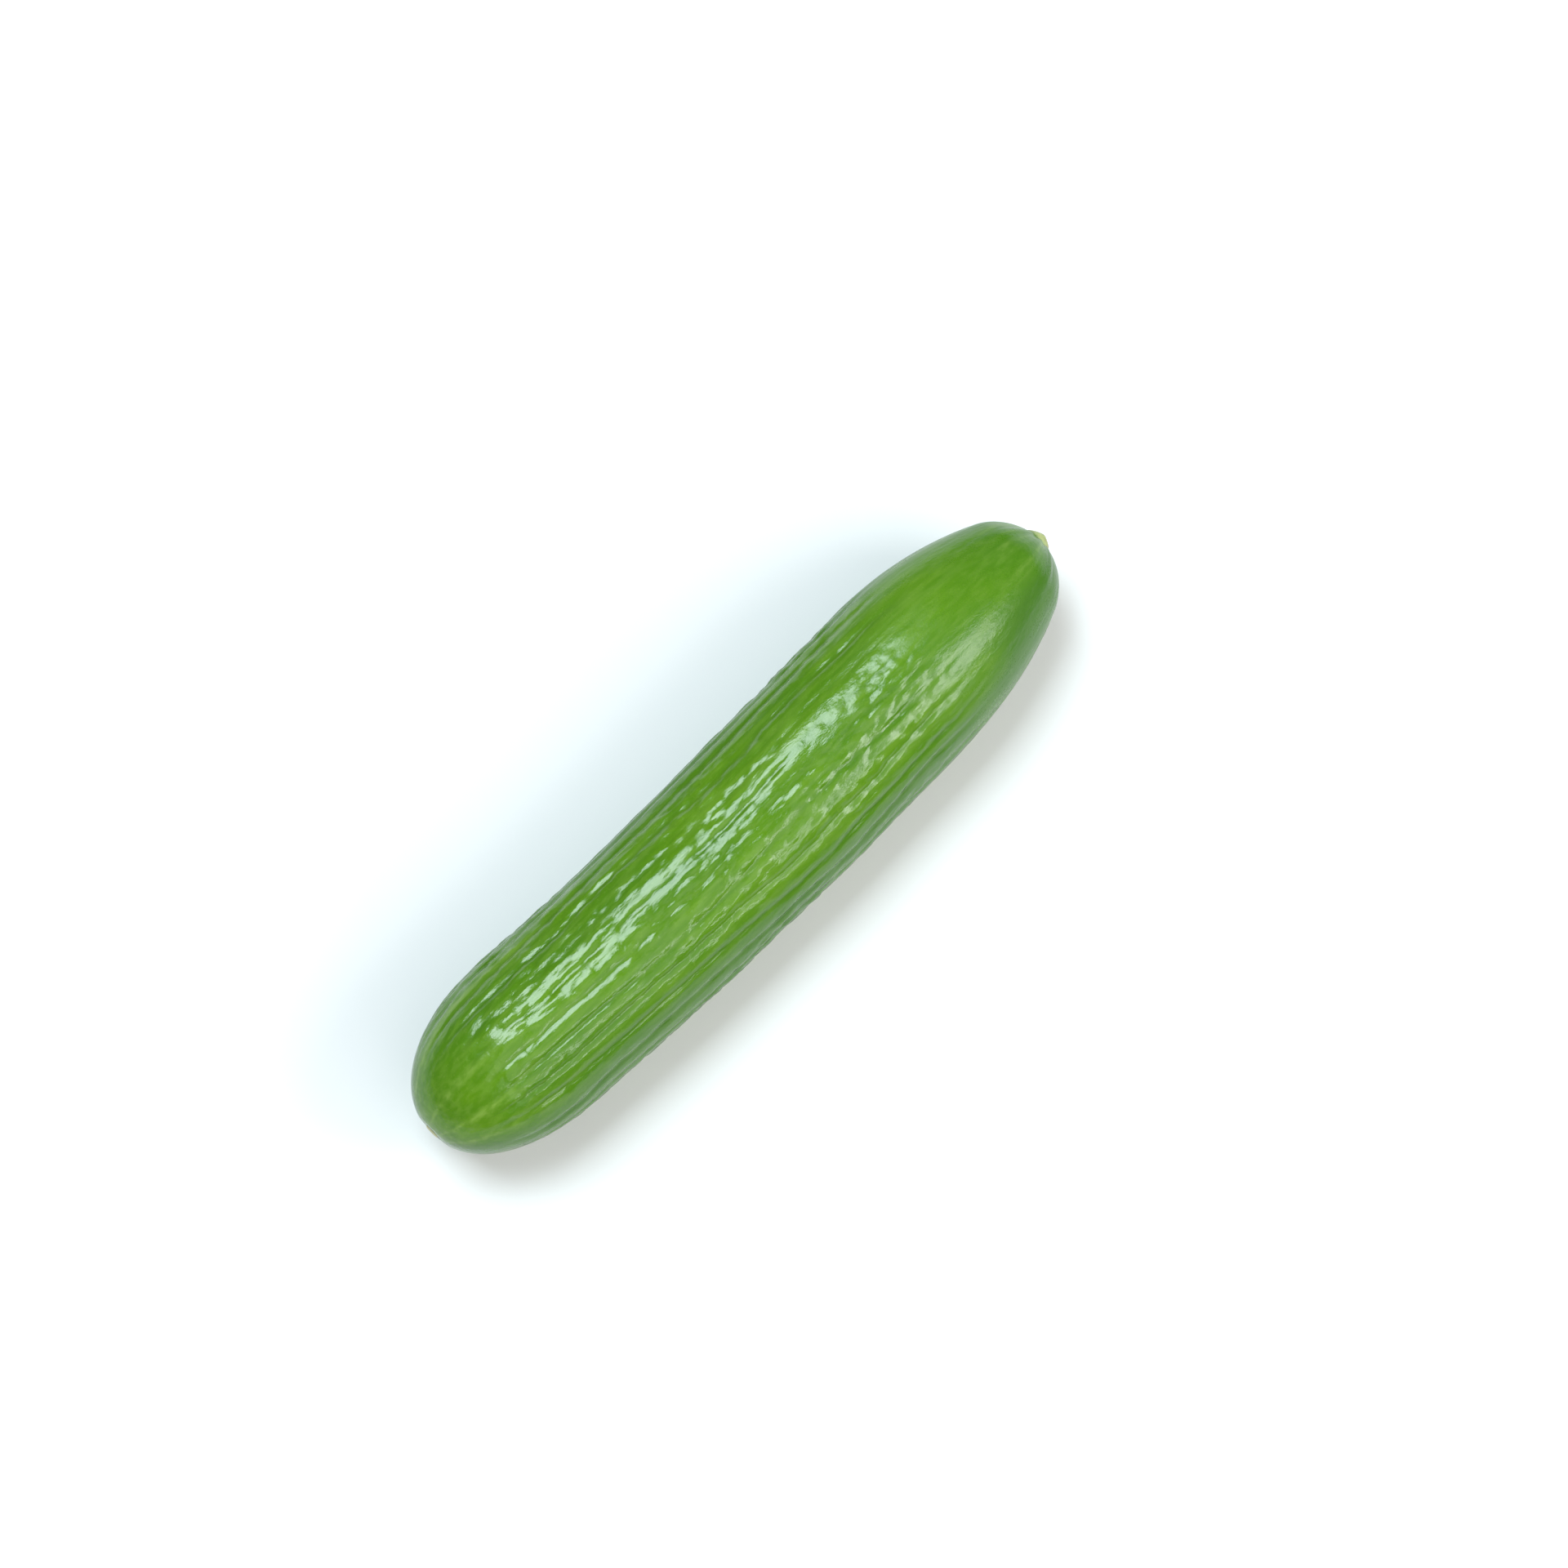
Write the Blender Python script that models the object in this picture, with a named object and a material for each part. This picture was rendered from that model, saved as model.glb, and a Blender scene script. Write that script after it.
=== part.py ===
"""A smooth-skinned mini cucumber, as picked, lying on its side.

Two grown pieces: the fruit, and the stub of the stem that it was cut from.
Metres, +Z up. +X runs along the fruit from its blossom end to its stem end, and the fruit
rests on z = 0 with the middle of its outline over the origin.
"""

import math

import bmesh
import bpy
import numpy as np
from mathutils import Vector

# Driving dimensions of the fruit.
FRUIT_LENGTH = 0.168
FRUIT_RADIUS = 0.0186       # at the fullest place, about two thirds of the way to the stem
BOW = 0.0016                # how far the middle swings towards -Y
BOW_SKEW = 0.85             # below 1 the swing peaks nearer the blossom end
BOW_POWER = 3.0             # how much of the two ends stays straight
LOBE_DEPTH = 0.012          # share of the radius: three seed chambers make a faintly lobed section
LOBES = 3
LOBE_TURN = math.radians(40.0)
REST_FLAT_DEPTH = 0.00035   # how far the skin is pressed flat where the fruit lies on it

# Shape of the outline, as shares of the length or of the radius.
BLOSSOM_DOME = 0.168        # length of the rounded blossom end
BLOSSOM_DOME_BLUNTNESS = 2.2
SWELL = 0.0445              # how much slimmer the fruit is at the start than at its fullest
SWELL_START = 0.15
SWELL_END = 0.738
STEM_TAPER_START = 0.7315
STEM_TAPER = 0.5646         # share of the radius lost along the taper
STEM_TAPER_POWER = 2.379
STEM_NOSE = 0.0267          # length of the blunt nose that closes the stem end
STEM_NOSE_BLUNTNESS = 3.0

# The hollow at the stem end, with a flat seat that the stub stands on.
SEAT_RADIUS = 0.0045
SEAT_CROWN = 0.0002         # the nose's own crown inside the seat
SEAT_DEPTH = 0.0005
HOLLOW_RADIUS = 0.0070
JOIN_GAP = 0.0003           # between the seat and the foot of the stub

# The cut stem stub.
STUB_LENGTH = 0.0024
STUB_FOOT_RADIUS = 0.0042
STUB_CUT_RADIUS = 0.0017
STUB_FLARE_POWER = 1.3      # how quickly the foot's flare narrows to the neck
STUB_ANGLES = 5             # ridges round the stem
STUB_ANGLE_DEPTH = 0.06     # their height, as a share of the radius
STUB_LEAN = Vector((0.0, -0.0008, -0.0003))   # how far the cut end leans off the axis

# Mesh fineness.
FRUIT_AROUND = 40
FRUIT_RINGS = 46
END_CROWDING = 3.0          # how many more rings there are at the two ends
CROWDED_REACH = 0.05        # share of the length over which that falls off
ARC_SAMPLES = 2001
STUB_AROUND = 30
STUB_RINGS = 6
MERGE_DISTANCE = 0.000005
SKIN_SHADE_ANGLE = math.radians(40.0)

SKIN_GREEN = (0.115, 0.270, 0.035, 1.0)
STEM_GREEN = (0.420, 0.500, 0.190, 1.0)
SKIN_ROUGHNESS = 0.25
STEM_ROUGHNESS = 0.6


def clear_scene():
    for old in list(bpy.data.objects):
        bpy.data.objects.remove(old, do_unlink=True)


def make_material(name, colour, roughness):
    material = bpy.data.materials.new(name)
    material.use_nodes = True
    shader = material.node_tree.nodes["Principled BSDF"]
    shader.inputs["Base Color"].default_value = colour
    shader.inputs["Roughness"].default_value = roughness
    shader.inputs["Metallic"].default_value = 0.0
    material.diffuse_color = colour
    return material


def smoothstep(share):
    share = np.clip(share, 0.0, 1.0)
    return share * share * (3.0 - 2.0 * share)


def swell_radius(along):
    """Radius of the fruit's long body, with neither end closed. along is 0 to 1."""
    rise = np.clip((along - SWELL_START) / (SWELL_END - SWELL_START), 0.0, 1.0)
    return FRUIT_RADIUS * (1.0 - SWELL * (0.5 + 0.5 * np.cos(np.pi * rise)))


def skin_radius(along):
    """Radius of the whole fruit: body, blossom dome, stem taper and stem nose."""
    dome_share = np.clip(along / BLOSSOM_DOME, 0.0, 1.0)
    dome = (1.0 - (1.0 - dome_share) ** 2) ** (1.0 / BLOSSOM_DOME_BLUNTNESS)
    taper_share = np.clip((along - STEM_TAPER_START) / (1.0 - STEM_TAPER_START), 0.0, 1.0)
    taper = 1.0 - STEM_TAPER * taper_share ** STEM_TAPER_POWER
    nose_share = np.clip((1.0 - along) / STEM_NOSE, 0.0, 1.0)
    nose = (1.0 - (1.0 - nose_share) ** 2) ** (1.0 / STEM_NOSE_BLUNTNESS)
    return swell_radius(along) * dome * taper * nose


def place_along(ring_share):
    """Where a ring lies: even along the skin, and closer together near the two ends."""
    along = 0.5 - 0.5 * np.cos(np.linspace(0.0, np.pi, ARC_SAMPLES))
    radius = skin_radius(along)
    step = np.hypot(np.diff(along) * FRUIT_LENGTH, np.diff(radius))
    middle = (along[1:] + along[:-1]) / 2.0
    end_distance = np.minimum(middle, 1.0 - middle)
    crowding = 1.0 + END_CROWDING * np.exp(-end_distance / CROWDED_REACH)
    travelled = np.concatenate(([0.0], np.cumsum(step * crowding)))
    return float(np.interp(ring_share, travelled / travelled[-1], along))


def sideways_bow(along):
    return -BOW * math.sin(math.pi * along ** BOW_SKEW) ** BOW_POWER


def stem_hollow(radius):
    """Depth of the hollow at the stem end, full inside the seat."""
    rim_share = (HOLLOW_RADIUS - radius) / (HOLLOW_RADIUS - SEAT_RADIUS)
    return SEAT_DEPTH * smoothstep(rim_share)


def skin_point(along, angle):
    """A point of the skin. angle is 0 at +Y and a quarter turn at +Z."""
    radius = float(skin_radius(along))
    radius *= 1.0 + LOBE_DEPTH * math.cos(LOBES * (angle - LOBE_TURN))
    x = (along - 0.5) * FRUIT_LENGTH
    if along > STEM_TAPER_START:
        x = min(x, FRUIT_LENGTH / 2.0 - SEAT_CROWN) - float(stem_hollow(radius))
    y = sideways_bow(along) + radius * math.cos(angle)
    z = float(swell_radius(along)) + radius * math.sin(angle)
    return Vector((x, y, z))


def press_flat(bm, height):
    """Cuts the underside off level at height and closes it with one flat face."""
    everything = bm.verts[:] + bm.edges[:] + bm.faces[:]
    cut = bmesh.ops.bisect_plane(
        bm,
        geom=everything,
        dist=MERGE_DISTANCE,
        plane_co=(0.0, 0.0, height),
        plane_no=(0.0, 0.0, -1.0),
        clear_outer=True,
    )
    edges = [item for item in cut["geom_cut"] if isinstance(item, bmesh.types.BMEdge)]
    bmesh.ops.edgenet_fill(bm, edges=edges)


def to_object(bm, name, material, collection):
    bmesh.ops.recalc_face_normals(bm, faces=bm.faces[:])
    mesh = bpy.data.meshes.new(name)
    bm.to_mesh(mesh)
    bm.free()
    mesh.materials.append(material)
    mesh.shade_smooth()
    mesh.set_sharp_from_angle(angle=SKIN_SHADE_ANGLE)
    made = bpy.data.objects.new(name, mesh)
    collection.objects.link(made)
    return made


def make_fruit(collection):
    bm = bmesh.new()
    bmesh.ops.create_uvsphere(
        bm, u_segments=FRUIT_AROUND, v_segments=FRUIT_RINGS, radius=1.0
    )
    for vertex in bm.verts:
        height = max(-1.0, min(1.0, vertex.co.z))
        ring_share = math.acos(-height) / math.pi
        angle = math.atan2(vertex.co.y, vertex.co.x)
        vertex.co = skin_point(place_along(ring_share), angle)
    lowest = min(vertex.co.z for vertex in bm.verts)
    press_flat(bm, lowest + REST_FLAT_DEPTH)
    skin = make_material("cucumber_skin", SKIN_GREEN, SKIN_ROUGHNESS)
    return to_object(bm, "fruit", skin, collection)


def stub_point(share, turn, fill):
    """A point of the stub: share runs up its side, fill inwards from side (1) to axis (0)."""
    flare = (1.0 - share) ** STUB_FLARE_POWER
    radius = STUB_CUT_RADIUS + (STUB_FOOT_RADIUS - STUB_CUT_RADIUS) * flare
    radius *= fill * (1.0 + STUB_ANGLE_DEPTH * math.cos(STUB_ANGLES * turn))
    seat_x = FRUIT_LENGTH / 2.0 - SEAT_CROWN - SEAT_DEPTH + JOIN_GAP
    centre = Vector((seat_x + share * STUB_LENGTH, 0.0, FRUIT_RADIUS))
    centre += STUB_LEAN * share
    return centre + Vector((0.0, radius * math.cos(turn), radius * math.sin(turn)))


def make_stem_stub(collection):
    bm = bmesh.new()
    bmesh.ops.create_cone(
        bm,
        cap_ends=True,
        cap_tris=True,
        segments=STUB_AROUND,
        radius1=1.0,
        radius2=1.0,
        depth=1.0,
    )
    uprights = [e for e in bm.edges if abs(e.verts[0].co.z - e.verts[1].co.z) > 0.5]
    bmesh.ops.subdivide_edges(bm, edges=uprights, cuts=STUB_RINGS - 1)
    for vertex in bm.verts:
        fill = min(1.0, math.hypot(vertex.co.x, vertex.co.y))
        turn = math.atan2(vertex.co.y, vertex.co.x)
        vertex.co = stub_point(vertex.co.z + 0.5, turn, fill)
    stem = make_material("cut_stem", STEM_GREEN, STEM_ROUGHNESS)
    return to_object(bm, "stem_stub", stem, collection)


def stand_over_origin(parts):
    """Moves the meshes so that the outline's middle is over the origin and its base on z = 0."""
    points = [v.co for part in parts for v in part.data.vertices]
    low = Vector(min(p[axis] for p in points) for axis in range(3))
    high = Vector(max(p[axis] for p in points) for axis in range(3))
    middle = (low + high) / 2.0
    for part in parts:
        for vertex in part.data.vertices:
            vertex.co -= Vector((middle.x, middle.y, low.z))


def main():
    clear_scene()
    collection = bpy.data.collections.new("cucumber")
    bpy.context.scene.collection.children.link(collection)
    stand_over_origin([make_fruit(collection), make_stem_stub(collection)])


main()
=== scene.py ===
"""The looks of a mini cucumber that lies on its side: its skin, its cut stem and a plain stage.

Laid out as a Blender add-on and run as a script. Lengths are in metres, +Z is up, and +X runs
from the blossom end to the stem end. Round the fruit, an angle is 0 at +Y and a quarter turn
at +Z. Along it, a place is 0 at the blossom end and 1 at the stem end.
"""

import math
from typing import NamedTuple

import bmesh
import bpy
import numpy as np
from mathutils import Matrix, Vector, noise


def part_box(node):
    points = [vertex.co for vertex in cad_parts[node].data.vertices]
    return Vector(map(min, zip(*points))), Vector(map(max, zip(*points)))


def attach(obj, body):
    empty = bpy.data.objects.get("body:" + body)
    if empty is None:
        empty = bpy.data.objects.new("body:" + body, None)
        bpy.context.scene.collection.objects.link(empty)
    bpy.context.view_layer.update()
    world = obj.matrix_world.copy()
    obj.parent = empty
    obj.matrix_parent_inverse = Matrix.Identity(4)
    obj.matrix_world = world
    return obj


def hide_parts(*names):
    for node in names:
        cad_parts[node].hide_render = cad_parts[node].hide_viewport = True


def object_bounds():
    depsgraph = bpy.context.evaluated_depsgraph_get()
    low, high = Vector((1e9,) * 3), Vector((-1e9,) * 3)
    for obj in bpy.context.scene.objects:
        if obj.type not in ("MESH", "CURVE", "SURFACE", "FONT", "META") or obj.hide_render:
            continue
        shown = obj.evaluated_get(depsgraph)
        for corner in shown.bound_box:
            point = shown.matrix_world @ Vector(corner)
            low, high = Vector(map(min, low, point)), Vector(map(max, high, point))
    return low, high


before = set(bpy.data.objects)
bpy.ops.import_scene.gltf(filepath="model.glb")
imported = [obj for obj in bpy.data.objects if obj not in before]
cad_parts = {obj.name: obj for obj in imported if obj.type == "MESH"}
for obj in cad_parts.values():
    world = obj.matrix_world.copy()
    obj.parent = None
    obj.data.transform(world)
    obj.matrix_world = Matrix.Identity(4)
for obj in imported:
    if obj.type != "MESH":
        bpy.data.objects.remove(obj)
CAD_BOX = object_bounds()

bl_info = {
    "name": "Mini Cucumber",
    "version": (1, 0, 0),
    "blender": (4, 5, 0),
    "location": "View3D > Sidebar > Cucumber",
    "description": "Models a smooth-skinned mini cucumber with its cut stem, on a plain stage",
    "category": "Add Mesh",
}


class Pattern(NamedTuple):
    """A noise on the skin: its features' width, their length in widths, and where it starts."""

    spacing: float
    stretch: float
    seed: float


class Speckle(NamedTuple):
    """A noise in a material: the size of its features, and how fine and how rough it is."""

    size: float
    detail: float = 2.0
    roughness: float = 0.5


FRUIT_LOW, FRUIT_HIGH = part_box("fruit")
STUB_LOW, STUB_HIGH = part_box("stem_stub")

# The fruit's outline, as shares of its length or of its radius. Its laws are the solid's.
RIM_SHARE = 0.99583         # where the rim of the stem hollow lies, the solid's far end
REST_FLAT = 0.00035         # how far the solid is cut flat underneath
BLOSSOM_DOME = 0.168
BLOSSOM_DOME_BLUNTNESS = 2.2
SWELL = 0.0445
SWELL_START = 0.15
SWELL_END = 0.738
STEM_TAPER_START = 0.7315
STEM_TAPER = 0.5646
STEM_TAPER_POWER = 2.379
STEM_NOSE = 0.045           # rounder than the solid, which keeps a flat seat for its stub
STEM_NOSE_BLUNTNESS = 2.6
LOBES = 3
LOBE_DEPTH = 0.012
LOBE_TURN = math.radians(40.0)
BOW = 0.0016
BOW_SKEW = 0.85             # below 1 the swing peaks nearer the blossom end
BOW_POWER = 3.0             # how much of the two ends stays straight
NECK_RISE = 0.0004          # how far the skin is drawn out towards the stem
NECK_REACH = 0.0060
NECK_POWER = 1.5

FRUIT_LENGTH = (FRUIT_HIGH.x - FRUIT_LOW.x) / RIM_SHARE
FRUIT_RADIUS = (FRUIT_HIGH.z - FRUIT_LOW.z + REST_FLAT) / 2.0

# Mesh fineness.
FRUIT_AROUND = 240
FRUIT_RINGS = 400
END_CROWDING = 2.0
CROWDED_REACH = 0.04
ARC_SAMPLES = 4001
FLOOR_PRESS = 0.00012       # softness of the edge where the skin meets the surface

# Where the skin is wrinkled, along the fruit.
BLOSSOM_SMOOTH = (0.03, 0.13)
STEM_SMOOTH = (0.71, 0.84)
STEM_SMOOTHNESS = 0.90

# The long ridges: how they wander, and how their height changes from place to place.
DRIFT = Pattern(0.012, 4.5, 3.7)
DRIFT_TURN = 1.9
WAVER = Pattern(0.005, 2.6, 9.1)
WAVER_TURN = 0.55
RIDGE_STRENGTH = Pattern(0.012, 3.2, 21.0)
RIDGE_STRENGTH_RANGE = (-0.22, 0.34)
LEAST_RIDGE = 0.12
FLANK_RANGE = (0.90, 0.97)  # sine of the angle, between the flanks and the top
FLANK_STRENGTH = 0.85

# The leathery wrinkles, the fine crinkles and the slow swell.
WRINKLE_BEND = 0.05
WRINKLE_STRETCH = 2.4
WRINKLE_SEED = 31.9
WRINKLE_RANGE = (0.0, 0.60)
PATCH = Pattern(0.014, 2.2, 47.0)
PATCH_RANGE = (-0.30, 0.25)
LEAST_WRINKLE = 0.35
CRINKLE = Pattern(0.0016, 2.0, 63.0)
CRINKLE_GAIN = 2.6
CRINKLE_DEPTH = 0.00014
LEAST_CRINKLE = 0.3
SLOW_SWELL = Pattern(0.009, 2.2, 5.5)
SLOW_SWELL_DEPTH = 0.00042
# How the ridges, wrinkles and crinkles count towards how high up the skin is, which sets the
# painted shade in the creases.
SHADE_OF_RIDGE, SHADE_OF_WRINKLE, SHADE_OF_CRINKLE = 0.50, 0.35, 0.15

# The blossom scar: lengths across it are shares of its radius.
SCAR_DISC = 0.00008
SCAR_DISC_EDGE = (0.85, 1.1)
SCAR_RIM = 0.00008
SCAR_RIM_PLACE, SCAR_RIM_WIDTH = 0.82, 0.14
SCAR_PIT = 0.00018
SCAR_PIT_WIDTH = 0.25
SCAR_MOAT = 0.00022
SCAR_MOAT_PLACE, SCAR_MOAT_WIDTH = 1.30, 0.28
SCAR_SINK = 0.00020
SCAR_SINK_EDGE = (0.8, 3.0)
SCAR_REACH = 1.5
SCAR_RAGGEDNESS = 0.16
SCAR_RAGGED_TURNS = 2.0
SCAR_SEED = 6.0

# The pale streaks at the blossom end. Their lengths are shares of the streak length.
STREAKS = 11
STREAK_BEND = Pattern(0.010, 3.0, 71.0)
STREAK_BEND_TURN = 0.10
STREAK_SHIFT = 0.22
STREAK_SHIFT_SEED = (3.0, 8.0)
STREAK_REACH = (0.65, 0.5)
STREAK_REACH_SEED = (11.0, 2.0)
STREAK_WIDTH = (0.07, 0.06)
STREAK_FADE = (0.35, 1.3)
STREAK_LIMIT = 1.6

# The fine pale lines and the small folds round the stem.
RAY_TURNS = 9.0
RAY_LENGTHWAYS = 6.0
RAY_RANGE = (-0.02, 0.34)
RAY_FADE = (0.90, 0.965)
RAY_STRENGTH = 1.3
FOLDS = 11
FOLD_BEND = Pattern(0.006, 2.0, 13.0)
FOLD_BEND_TURN = 2.0
FOLD_DEPTH = 0.00010
FOLD_FADE = (0.93, 0.985)
FOLD_RADII = (0.001, 0.004)

# Painted shade: a deeper green low on the flanks, and a painted shadow on one side by the stem.
PAINTED_SHADE_FLANK_RANGE = (0.28, 0.80)
PAINTED_SHADE_FLANK_STRENGTH = 0.85
PAINTED_SHADOW_STEM_RANGE = (0.80, 0.92)
PAINTED_SHADOW_STEM_SIDE = (0.33, 0.66)

# The skin's colours: the patterns in its material, where each comes in, and how much it covers.
LENGTHWISE = (0.10, 1.0, 1.0)
HALF_LENGTHWISE = (0.35, 1.0, 1.0)
HALF_LENGTHWISE_START = (0.3, 0.0, 0.0)
MOTTLE, MOTTLE_RANGE, MOTTLE_COVER = Speckle(0.012, 3.0, 0.55), (0.38, 0.66), 0.55
BANDS, BAND_RANGE, BAND_COVER = Speckle(0.0042, 3.0, 0.6), (0.40, 0.64), 0.30
FIBRES, FIBRE_RANGE, FIBRE_COVER = Speckle(0.0011), (0.35, 0.70), 0.16
FLECKS, FLECK_RANGE, FLECK_COVER = Speckle(0.00075, 1.0), (0.62, 0.74), 0.10
# Painted shade in the creases between the ridges and wrinkles: where it comes in, and how much it
# covers.
PAINTED_CREASE_SHADE_RANGE, PAINTED_CREASE_SHADE_COVER = (0.15, 0.85), 0.30
STREAK_COVER, LEAST_STREAK = 0.50, 0.35
STEM_END_RANGE, STEM_END_COVER = (0.80, 0.98), 0.60
# Painted shade low on the flanks and painted shadow by the stem: how much it covers.
PAINTED_SHADE_COVER = 0.80
MOAT_RANGE, MOAT_COVER = (0.10, 0.26), 0.75
SCAR_RANGE = (0.29, 0.42)
CRUST, CRUST_RANGE, CRUST_COVER = Speckle(0.00060, 3.0, 0.65), (0.42, 0.66), 0.45
PIT_RANGE, PIT_COVER = (0.76, 0.96), 0.65

# The skin's finish. Each roughness is added to the least one. A bump is a strength and a depth.
LEAST_ROUGHNESS = 0.10
WAX, WAX_ROUGHNESS = Speckle(0.006), 0.10
GRAIN, GRAIN_ROUGHNESS, GRAIN_BUMP = Speckle(0.00045), 0.05, (0.15, 0.00008)
PORES, PORE_BUMP = Speckle(0.0010, 3.0, 0.6), (0.32, 0.00030)
SCAR_ROUGHNESS = 0.40
SMOOTH_END_RANGE, SMOOTH_END_ROUGHNESS = (0.68, 0.82), 0.11
SKIN_IOR = 1.47
SKIN_DEPTH_WEIGHT, SKIN_DEPTH = 0.06, 0.0025    # how much light goes into the skin, and how far
SKIN_DEPTH_COLOURS = (0.6, 1.0, 0.25)

# The stem.
STEM_AROUND = 160
STEM_RINGS = 30
STEM_FACE_RINGS = 14
STEM_SINK = 0.0014          # how far the foot runs into the fruit
STEM_NECK_RADIUS = 0.0015
STEM_FOOT_RADIUS = 0.0047
STEM_FLARE_POWER = 0.85     # how quickly the foot's flare narrows to the neck
ANGLE_TURN = 0.5
ANGLE_BASE, ANGLE_CREST = 0.3, 0.5
RIB_DEPTH, RIB_TURNS, RIB_LENGTHWAYS = 0.02, 3.2, 1.2
LUMP_DEPTH, LUMP_LENGTHWAYS, LUMP_SEED = 0.05, 1.5, 4.0
CUT_SLANT = Vector((0.0, 0.45, 0.10))
CUT_SLANT_START = 0.2       # share of the stem's height
CUT_SHORTENING = 0.00085    # makes room for the high side of the slant
STEM_LEAN = Vector((0.0, -0.0008, -0.0003))   # of the cut end, off the axis
STEM_LEAN_START = 0.3

# The cut face. Lengths across it are shares of its radius.
FACE_DISH, FACE_DISH_POWER = 0.00018, 4
FACE_ROUGHNESS, FACE_ROUGH_TURNS, FACE_SEED = 0.00010, 9.0, 2.0
FACE_ROUGH_START = 0.2
VESSELS = 9
VESSEL_HEIGHT, VESSEL_PLACE, VESSEL_WIDTH = 0.00009, 0.62, 0.10
FACE_HOLLOW, FACE_HOLLOW_WIDTH = 0.00012, 0.22
FACE_EDGE_POWER = 6
MIDDLE_REACH = 0.01         # a point nearer the axis than this is the middle of a cap
TOP_SHARE = 0.9999          # a point higher than this is on the cut face

# The stem's colours and finish.
STEM_LENGTHWISE = (0.2, 1.0, 1.0)
STEM_FIBRES, STEM_FIBRE_RANGE, STEM_FIBRE_COVER = Speckle(0.00035, 3.0, 0.6), (0.45, 0.7), 0.4
STEM_FIBRE_BUMP = (0.5, 0.0002)
BLOTCHES = Speckle(0.0012, 3.0, 0.6)
STEM_COLOUR_RANGE = (0.30, 0.60)
DRY_EDGE_RANGE, DRY_EDGE_BLOTCHES, DRY_EDGE_COVER = (0.75, 1.0), (0.35, 0.6), 0.7
FACE_BLOTCHES, FACE_BLOTCH_COVER = (0.5, 0.7), 0.55
FACE_RANGE = (0.0, 0.6)
STEM_ROUGHNESS, FACE_EXTRA_ROUGHNESS = 0.50, 0.3
STEM_DEPTH_WEIGHT, STEM_DEPTH = 0.1, 0.001

# The stage. Lights are placed from the middle of the cucumber, and their first side is level.
FLOOR_SIDE = 8.0
FLOOR_ROUGHNESS = 0.7
CAMERA_LENS = 85.0
SENSOR_WIDTH = 36.0
AIM_RIGHT = 0.0071
AIM_UP = 0.0093
COOL_LIGHT = (0.80, 0.93, 1.0)
WHITE_LIGHT = (1.0, 1.0, 1.0)
KEY_PLACE = Vector((-0.04, 0.43, 1.19))
KEY_SIDES = (0.66, 0.64)
SIDE_PLACE = Vector((0.46, -0.62, 0.63))
SIDE_SIDES = (0.40, 0.40)
STRIP_PLACE = Vector((0.0, -0.98, 0.69))
STRIP_SIDES = (0.90, 0.09)
FILL_PLACE = Vector((-0.15, -0.80, 1.15))
FILL_SIDES = (1.2, 1.2)

# Sockets of a colour Mix node.
MIX_FACTOR, MIX_A, MIX_B, MIX_RESULT = 0, 6, 7, 2


# ---------------------------------------------------------------- settings


class FruitSettings(bpy.types.PropertyGroup):
    ridge_depth: bpy.props.FloatProperty(
        name="Ridge Depth",
        description="Height of the long ridges that run from end to end",
        default=0.00052,
        unit="LENGTH",
    )
    ridge_spacing: bpy.props.FloatProperty(
        name="Ridge Spacing",
        description="Distance round the fruit from one long ridge to the next",
        default=0.0047,
        unit="LENGTH",
    )
    wrinkle_depth: bpy.props.FloatProperty(
        name="Wrinkle Depth",
        description="Height of the leathery wrinkles between the ridges",
        default=0.00021,
        unit="LENGTH",
    )
    wrinkle_spacing: bpy.props.FloatProperty(
        name="Wrinkle Spacing",
        description="Width of one leathery wrinkle",
        default=0.0024,
        unit="LENGTH",
    )
    streak_length: bpy.props.FloatProperty(
        name="Streak Length",
        description="How far the pale streaks run from the blossom end",
        default=0.038,
        unit="LENGTH",
    )
    scar_radius: bpy.props.FloatProperty(
        name="Scar Radius",
        description="Radius of the corky scar that the flower left",
        default=0.00165,
        unit="LENGTH",
    )
    skin_colour: bpy.props.FloatVectorProperty(
        name="Skin",
        description="Green of most of the skin",
        default=(0.090, 0.222, 0.002),
        subtype="COLOR",
    )
    deep_colour: bpy.props.FloatVectorProperty(
        name="Deep Skin",
        description="Green of the darker patches and lengthwise bands",
        default=(0.048, 0.158, 0.002),
        subtype="COLOR",
    )
    # The green of the painted shade in the creases, low on the flanks and the painted shadow by the
    # stem.
    painted_shade_colour: bpy.props.FloatVectorProperty(
        name="Painted Shade",
        description="Green at the bottom of the wrinkles and low on the flanks",
        default=(0.036, 0.128, 0.002),
        subtype="COLOR",
    )
    streak_colour: bpy.props.FloatVectorProperty(
        name="Streaks",
        description="Pale green of the streaks at the two ends",
        default=(0.260, 0.400, 0.070),
        subtype="COLOR",
    )
    scar_colour: bpy.props.FloatVectorProperty(
        name="Blossom Scar",
        description="Dry cream of the scar",
        default=(0.660, 0.640, 0.360),
        subtype="COLOR",
    )
    dry_colour: bpy.props.FloatVectorProperty(
        name="Dry Skin",
        description="Brown-green of the ring and the pit of the scar",
        default=(0.130, 0.120, 0.030),
        subtype="COLOR",
    )


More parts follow.
